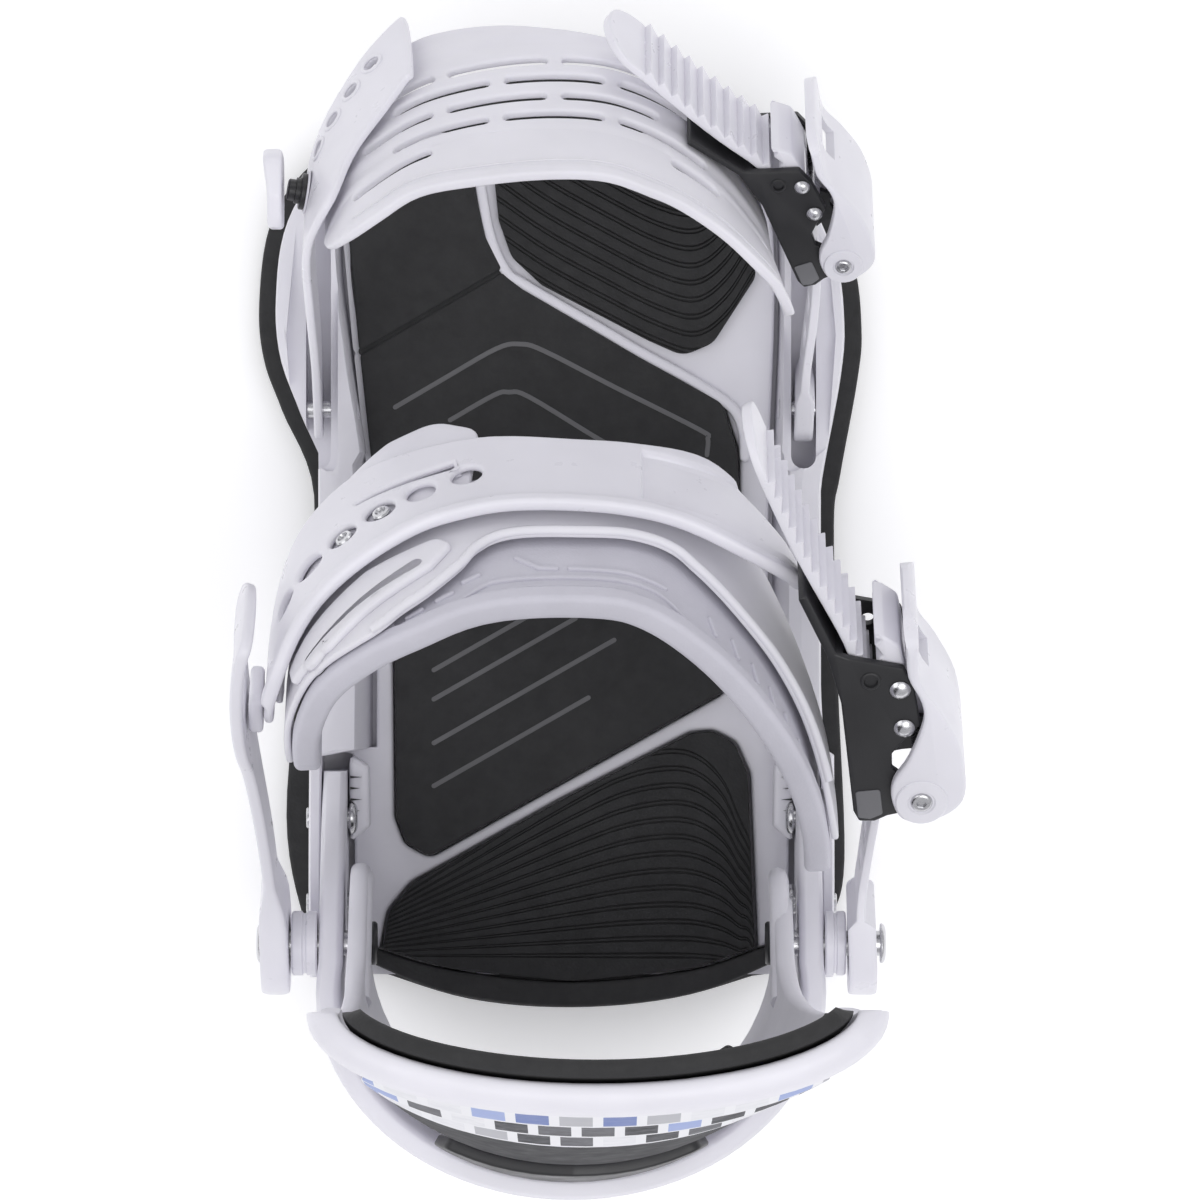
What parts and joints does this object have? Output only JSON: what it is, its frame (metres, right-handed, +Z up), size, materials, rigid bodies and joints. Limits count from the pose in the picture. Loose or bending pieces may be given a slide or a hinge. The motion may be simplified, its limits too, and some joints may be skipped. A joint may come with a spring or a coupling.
{
  "type": "snowboard binding",
  "caption": "Strap-in snowboard binding: padded base on a turning mounting disc, heel cup, folding highback, and ankle and toe straps with ratchet buckles.",
  "frame": {"origin": "centre of the mounting disc on the face that rests on the board", "axes": "+Z up away from the board, +Y towards the toe, +X to the side of the ratchet buckles"},
  "size_m": [0.1641, 0.2693, 0.225],
  "materials": {
    "white_nylon": "satin moulded",
    "white_urethane": "smooth satin, flexible",
    "lilac_foam": "matt moulded foam",
    "black_eva": "matt ribbed foam",
    "black_nylon": "satin",
    "steel": "plated",
    "disc_nylon": "satin",
    "rear_sheet": "printed satin film"
  },
  "bodies": {
    "base": {"baseplate": "white_nylon", "base_bushing": "black_eva", "toe_pad_right": "black_eva", "toe_pad_left": "black_eva", "disc_cover_pad": "black_eva", "heel_pad": "black_eva", "toe_pivot_pin_left": "steel", "toe_pivot_pin_right": "steel", "heelcup_bolt_left_1": "steel", "heelcup_bolt_left_2": "steel", "heelcup_bolt_right_1": "steel", "heelcup_bolt_right_2": "steel"},
    "disc": {"mounting_disc": "disc_nylon", "disc_screw_1": "steel", "disc_screw_2": "steel", "disc_screw_3": "steel", "disc_screw_4": "steel"},
    "heelcup": {"heelcup": "white_nylon", "pivot_nut_left": "black_nylon", "pivot_nut_right": "black_nylon", "pivot_spacer_left": "white_nylon", "pivot_spacer_right": "white_nylon", "pivot_bolt_left": "steel", "pivot_bolt_right": "steel"},
    "highback": {"highback": "white_nylon", "highback_pad": "black_eva", "highback_rear_panel": "rear_sheet"},
    "lean_block": {"forward_lean_block": "black_nylon"},
    "ankle_strap": {"ankle_pad": "lilac_foam", "ankle_frame": "white_urethane", "ankle_exo_band": "white_nylon", "ankle_adjuster_tongue": "white_nylon", "ankle_adjuster_stud_1": "steel", "ankle_adjuster_stud_2": "steel", "ankle_connector_left": "white_nylon", "ankle_strap_keeper": "white_nylon", "ankle_buckle_frame": "black_nylon", "ankle_buckle_pin_1": "steel", "ankle_buckle_pin_2": "steel", "ankle_buckle_mount_screw": "steel"},
    "ankle_ladder": {"ankle_ladder": "white_nylon"},
    "ankle_lever": {"ankle_lever": "white_nylon", "ankle_lever_axle": "steel"},
    "ankle_pawl": {"ankle_pawl": "white_nylon"},
    "toe_strap": {"toe_cap": "white_urethane", "toe_connector_left": "white_nylon", "toe_adjuster_stud": "black_nylon", "toe_buckle_frame": "black_nylon", "toe_buckle_pin_1": "steel", "toe_buckle_pin_2": "steel", "toe_buckle_mount_screw": "steel"},
    "toe_ladder": {"toe_ladder": "white_nylon"},
    "toe_lever": {"toe_lever": "white_nylon", "toe_lever_axle": "steel"},
    "toe_pawl": {"toe_pawl": "white_nylon"},
    "toe_adjuster_lever": {"toe_adjuster_lever": "white_nylon"}
  },
  "joints": [
    {"name": "disc_turn", "type": "hinge", "parent": "base", "child": "disc", "pos_m": [0, 0, 0], "axis": [0, 0, 1], "range_deg": [-45, 45]},
    {"name": "heelcup_slide", "type": "slide", "parent": "base", "child": "heelcup", "axis": [0, 1, 0], "range_m": [-0.003, 0.003]},
    {"name": "highback_fold", "type": "hinge", "parent": "heelcup", "child": "highback", "pos_m": [0, -0.088, 0.048], "axis": [-1, 0, 0], "range_deg": [0, 18]},
    {"name": "lean_slide", "type": "slide", "parent": "highback", "child": "lean_block", "axis": [0, 0.165, 0.9863], "range_m": [0, 0.006]},
    {"name": "ankle_strap_swing", "type": "hinge", "parent": "heelcup", "child": "ankle_strap", "pos_m": [0, -0.088, 0.048], "axis": [-1, 0, 0], "range_deg": [-15, 20]},
    {"name": "ankle_ladder_swing", "type": "hinge", "parent": "heelcup", "child": "ankle_ladder", "pos_m": [0, -0.088, 0.048], "axis": [-1, 0, 0], "range_deg": [-15, 20]},
    {"name": "ankle_lever_swing", "type": "hinge", "parent": "ankle_strap", "child": "ankle_lever", "pos_m": [0.0786, -0.04576, 0.07391], "axis": [0, 0.5736, -0.8192], "range_deg": [0, 75]},
    {"name": "ankle_pawl_swing", "type": "hinge", "parent": "ankle_strap", "child": "ankle_pawl", "pos_m": [0.07328, -0.02193, 0.0906], "axis": [0, 0.5736, -0.8192], "range_deg": [0, 6], "stiffness_Nm_per_rad": 0.02, "springref_deg": -8.59},
    {"name": "toe_strap_swing", "type": "hinge", "parent": "base", "child": "toe_strap", "pos_m": [0, 0.035, 0.02], "axis": [-1, 0, 0], "range_deg": [-15, 8]},
    {"name": "toe_ladder_swing", "type": "hinge", "parent": "base", "child": "toe_ladder", "pos_m": [0, 0.035, 0.02], "axis": [-1, 0, 0], "range_deg": [-15, 8]},
    {"name": "toe_lever_swing", "type": "hinge", "parent": "toe_strap", "child": "toe_lever", "pos_m": [0.06209, 0.07583, 0.04512], "axis": [0, 0.6428, -0.766], "range_deg": [0, 75]},
    {"name": "toe_pawl_swing", "type": "hinge", "parent": "toe_strap", "child": "toe_pawl", "pos_m": [0.05237, 0.0916, 0.05836], "axis": [0, 0.6428, -0.766], "range_deg": [0, 6], "stiffness_Nm_per_rad": 0.02, "springref_deg": -8.59},
    {"name": "toe_tab_turn", "type": "hinge", "parent": "toe_strap", "child": "toe_adjuster_lever", "pos_m": [-0.06463, 0.08427, 0.05612], "axis": [-1, 0, 0], "range_deg": [0, 60]}
  ],
  "couplings": [
    {"joint": "ankle_ladder_swing", "follows": "ankle_strap_swing", "ratio": 1},
    {"joint": "toe_ladder_swing", "follows": "toe_strap_swing", "ratio": 1}
  ]
}
